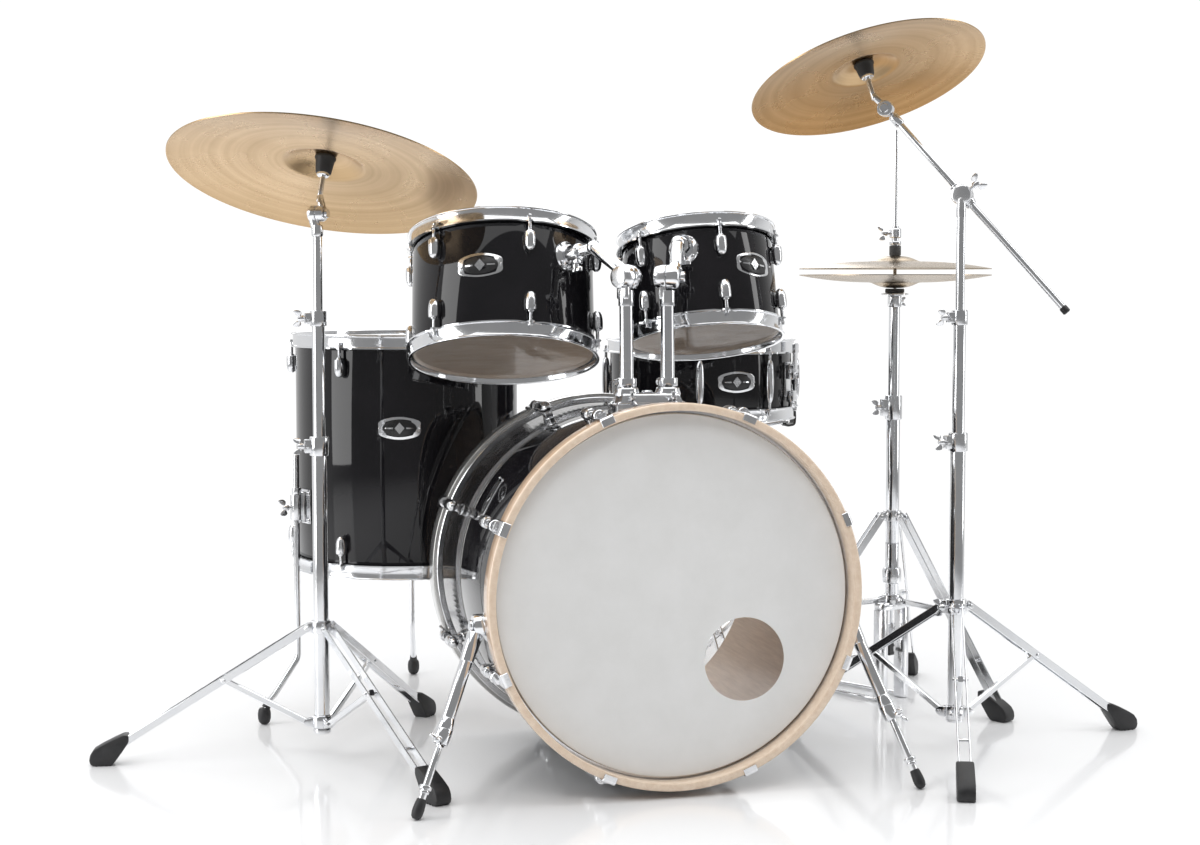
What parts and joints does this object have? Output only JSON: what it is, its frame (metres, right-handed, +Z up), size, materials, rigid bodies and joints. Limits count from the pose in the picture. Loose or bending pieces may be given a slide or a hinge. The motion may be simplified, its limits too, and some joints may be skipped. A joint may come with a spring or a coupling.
{
  "type": "acoustic drum kit",
  "caption": "Acoustic drum kit: bass drum with two mounted toms, floor tom, snare drum, hi-hat, ride cymbal on a straight stand and crash cymbal on a boom stand.",
  "frame": {"origin": "centre of the kit's bounding box, on the floor", "axes": "+Z up; the bass drum's front head faces -Y and the player sits on the +Y side; +X is the hi-hat side"},
  "size_m": [1.7936, 1.2101, 1.2121],
  "materials": {
    "shell_black": "high gloss lacquer",
    "hoop_maple": "satin lacquer over laminated maple",
    "chrome": "polished chrome plate",
    "head_white": "coated film",
    "head_clear": "clear film",
    "bronze": "lathed cymbal bronze",
    "basket_chrome": "polished, rubber tipped",
    "wires_steel": "plain steel",
    "pedal_metal": "cast"
  },
  "bodies": {
    "standing_parts": {"bass_shell": "shell_black", "bass_front_head": "head_white", "bass_batter_head": "head_clear", "bass_front_hoop": "hoop_maple", "bass_rear_hoop": "hoop_maple", "bass_lugs": "chrome", "bass_claws": "chrome", "spur_brackets": "chrome", "tom_mount_base": "chrome", "floor_tom_shell": "shell_black", "floor_tom_heads": "head_clear", "floor_tom_hoops": "chrome", "floor_tom_lugs": "chrome", "floor_tom_legs": "chrome", "ride_stand_base": "chrome", "boom_stand_base": "chrome", "hihat_stand_base": "chrome", "snare_stand": "chrome"},
    "left_spur": {"left_spur_leg": "chrome"},
    "right_spur": {"right_spur_leg": "chrome"},
    "left_post": {"left_tom_post": "chrome"},
    "right_post": {"right_tom_post": "chrome"},
    "large_tom": {"left_tom_tilter": "chrome", "large_tom_shell": "shell_black", "large_tom_heads": "head_clear", "large_tom_hoops": "chrome", "large_tom_lugs": "chrome"},
    "small_tom": {"right_tom_tilter": "chrome", "small_tom_shell": "shell_black", "small_tom_heads": "head_clear", "small_tom_hoops": "chrome", "small_tom_lugs": "chrome"},
    "snare_drum": {"snare_basket": "basket_chrome", "snare_shell": "shell_black", "snare_heads": "head_clear", "snare_hoops": "chrome", "snare_lugs": "chrome", "snare_wires": "wires_steel"},
    "throw_off": {"throw_off_lever": "chrome"},
    "ride_middle": {"ride_stand_middle_tube": "chrome"},
    "ride_upper": {"ride_stand_upper_tube": "chrome"},
    "ride_head": {"ride_tilter": "chrome"},
    "ride": {"ride_cymbal": "bronze"},
    "boom_collar": {"boom_stand_collar": "chrome"},
    "boom_leg_1": {"boom_stand_leg_1": "chrome"},
    "boom_leg_2": {"boom_stand_leg_2": "chrome"},
    "boom_leg_3": {"boom_stand_leg_3": "chrome"},
    "boom_brace_1": {"boom_stand_brace_1": "chrome"},
    "boom_brace_2": {"boom_stand_brace_2": "chrome"},
    "boom_brace_3": {"boom_stand_brace_3": "chrome"},
    "boom_middle": {"boom_stand_middle_tube": "chrome"},
    "boom_upper": {"boom_stand_upper_tube": "chrome"},
    "boom_pivot": {"boom_clamp": "chrome"},
    "boom": {"boom_arm": "chrome"},
    "crash_head": {"crash_tilter": "chrome"},
    "crash": {"crash_cymbal": "bronze"},
    "hihat_seat": {"hihat_upper_tube": "chrome", "hihat_bottom_cymbal": "bronze"},
    "hihat_rod": {"hihat_top_cymbal": "bronze"},
    "pedal": {"hihat_pedal": "pedal_metal"}
  },
  "joints": [
    {"name": "left_spur_fold", "type": "hinge", "parent": "standing_parts", "child": "left_spur", "pos_m": [-0.32152, -0.38443, 0.26685], "axis": [1, 0, 0], "range_deg": [-70, 0]},
    {"name": "right_spur_fold", "type": "hinge", "parent": "standing_parts", "child": "right_spur", "pos_m": [0.27448, -0.38443, 0.26685], "axis": [1, 0, 0], "range_deg": [-70, 0]},
    {"name": "left_post_swivel", "type": "hinge", "parent": "standing_parts", "child": "left_post", "pos_m": [-0.05952, -0.28417, 0.60766], "axis": [0, 0.0227, 0.9997], "range_deg": [0, 22]},
    {"name": "right_post_swivel", "type": "hinge", "parent": "standing_parts", "child": "right_post", "pos_m": [0.00848, -0.28417, 0.60766], "axis": [0, 0.0227, 0.9997], "range_deg": [-22, 0]},
    {"name": "large_tom_tilt", "type": "hinge", "parent": "left_post", "child": "large_tom", "pos_m": [-0.05952, -0.2799, 0.79561], "axis": [0.8572, 0.5149, -0.0117], "range_deg": [-5, 3.5]},
    {"name": "small_tom_tilt", "type": "hinge", "parent": "right_post", "child": "small_tom", "pos_m": [0.00848, -0.2799, 0.79561], "axis": [0.8829, -0.4694, 0.0107], "range_deg": [-8, 8]},
    {"name": "snare_tilt", "type": "hinge", "parent": "standing_parts", "child": "snare_drum", "pos_m": [0.28148, 0.40063, 0.4672], "axis": [0, 1, 0], "range_deg": [-5, 5]},
    {"name": "throw_off_lever", "type": "hinge", "parent": "snare_drum", "child": "throw_off", "pos_m": [0.42917, 0.2767, 0.618], "axis": [0.6428, 0.766, 0], "range_deg": [0, 75]},
    {"name": "ride_middle_height", "type": "slide", "parent": "standing_parts", "child": "ride_middle", "axis": [0, 0, 1], "range_m": [0, 0.12]},
    {"name": "ride_upper_height", "type": "slide", "parent": "ride_middle", "child": "ride_upper", "axis": [0, 0, 1], "range_m": [0, 0.1]},
    {"name": "ride_tilt", "type": "hinge", "parent": "ride_upper", "child": "ride_head", "pos_m": [-0.52152, -0.06637, 0.899], "axis": [0.8415, -0.5402, 0], "range_deg": [-5, 15]},
    {"name": "ride_spin", "type": "hinge", "parent": "ride_head", "child": "ride", "pos_m": [-0.51023, -0.04878, 0.95737], "axis": [0.1821, 0.2837, 0.9415], "continuous": true},
    {"name": "boom_tripod_fold", "type": "slide", "parent": "standing_parts", "child": "boom_collar", "axis": [0, 0, 1], "range_m": [0, 0.06]},
    {"name": "boom_leg_1_fold", "type": "hinge", "parent": "boom_collar", "child": "boom_leg_1", "pos_m": [0.55024, -0.25303, 0.241], "axis": [-0.1392, 0.9903, 0], "range_deg": [0, 13.49]},
    {"name": "boom_brace_1_fold", "type": "hinge", "parent": "standing_parts", "child": "boom_brace_1", "pos_m": [0.55024, -0.25303, 0.06], "axis": [-0.1392, 0.9903, 0], "range_deg": [-14.32, 0]},
    {"name": "boom_leg_2_fold", "type": "hinge", "parent": "boom_collar", "child": "boom_leg_2", "pos_m": [0.5117, -0.23746, 0.241], "axis": [-0.788, -0.6157, 0], "range_deg": [0, 13.49]},
    {"name": "boom_brace_2_fold", "type": "hinge", "parent": "standing_parts", "child": "boom_brace_2", "pos_m": [0.5117, -0.23746, 0.06], "axis": [-0.788, -0.6157, 0], "range_deg": [-14.32, 0]},
    {"name": "boom_leg_3_fold", "type": "hinge", "parent": "boom_collar", "child": "boom_leg_3", "pos_m": [0.51748, -0.27862, 0.241], "axis": [0.9272, -0.3746, 0], "range_deg": [0, 13.49]},
    {"name": "boom_brace_3_fold", "type": "hinge", "parent": "standing_parts", "child": "boom_brace_3", "pos_m": [0.51748, -0.27862, 0.06], "axis": [0.9272, -0.3746, 0], "range_deg": [-14.32, 0]},
    {"name": "boom_middle_height", "type": "slide", "parent": "standing_parts", "child": "boom_middle", "axis": [0, 0, 1], "range_m": [0, 0.12]},
    {"name": "boom_upper_height", "type": "slide", "parent": "boom_middle", "child": "boom_upper", "axis": [0, 0, 1], "range_m": [0, 0.1]},
    {"name": "boom_angle", "type": "hinge", "parent": "boom_upper", "child": "boom_pivot", "pos_m": [0.52648, -0.25637, 0.933], "axis": [0.5373, 0.8434, 0], "range_deg": [-15, 20]},
    {"name": "boom_reach", "type": "slide", "parent": "boom_pivot", "child": "boom", "axis": [-0.5599, 0.3567, 0.7478], "range_m": [-0.04, 0.12]},
    {"name": "crash_tilt", "type": "hinge", "parent": "boom", "child": "crash_head", "pos_m": [0.42906, -0.16585, 1.08032], "axis": [0.5373, 0.8434, 0], "range_deg": [-10, 10]},
    {"name": "crash_spin", "type": "hinge", "parent": "crash_head", "child": "crash", "pos_m": [0.4012, -0.15329, 1.12888], "axis": [-0.135, 0.3769, 0.9164], "continuous": true},
    {"name": "hihat_seat_height", "type": "slide", "parent": "standing_parts", "child": "hihat_seat", "axis": [0, 0, 1], "range_m": [-0.07, 0]},
    {"name": "hihat_pedal_press", "type": "hinge", "parent": "standing_parts", "child": "pedal", "pos_m": [0.43893, 0.38699, 0.018], "axis": [0.8829, 0.4695, 0], "range_deg": [0, 1.8], "stiffness_Nm_per_rad": 160, "springref_deg": -6.88},
    {"name": "hihat_rod_pull", "type": "slide", "parent": "standing_parts", "child": "hihat_rod", "axis": [0, 0, 1], "range_m": [-0.0092, 0]}
  ],
  "couplings": [
    {"joint": "boom_leg_1_fold", "follows": "boom_tripod_fold", "rad_per_m": 3.9195},
    {"joint": "boom_brace_1_fold", "follows": "boom_tripod_fold", "rad_per_m": -4.16},
    {"joint": "boom_leg_2_fold", "follows": "boom_tripod_fold", "rad_per_m": 3.9195},
    {"joint": "boom_brace_2_fold", "follows": "boom_tripod_fold", "rad_per_m": -4.16},
    {"joint": "boom_leg_3_fold", "follows": "boom_tripod_fold", "rad_per_m": 3.9195},
    {"joint": "boom_brace_3_fold", "follows": "boom_tripod_fold", "rad_per_m": -4.16},
    {"joint": "hihat_rod_pull", "follows": "hihat_pedal_press", "m_per_rad": -0.284}
  ]
}
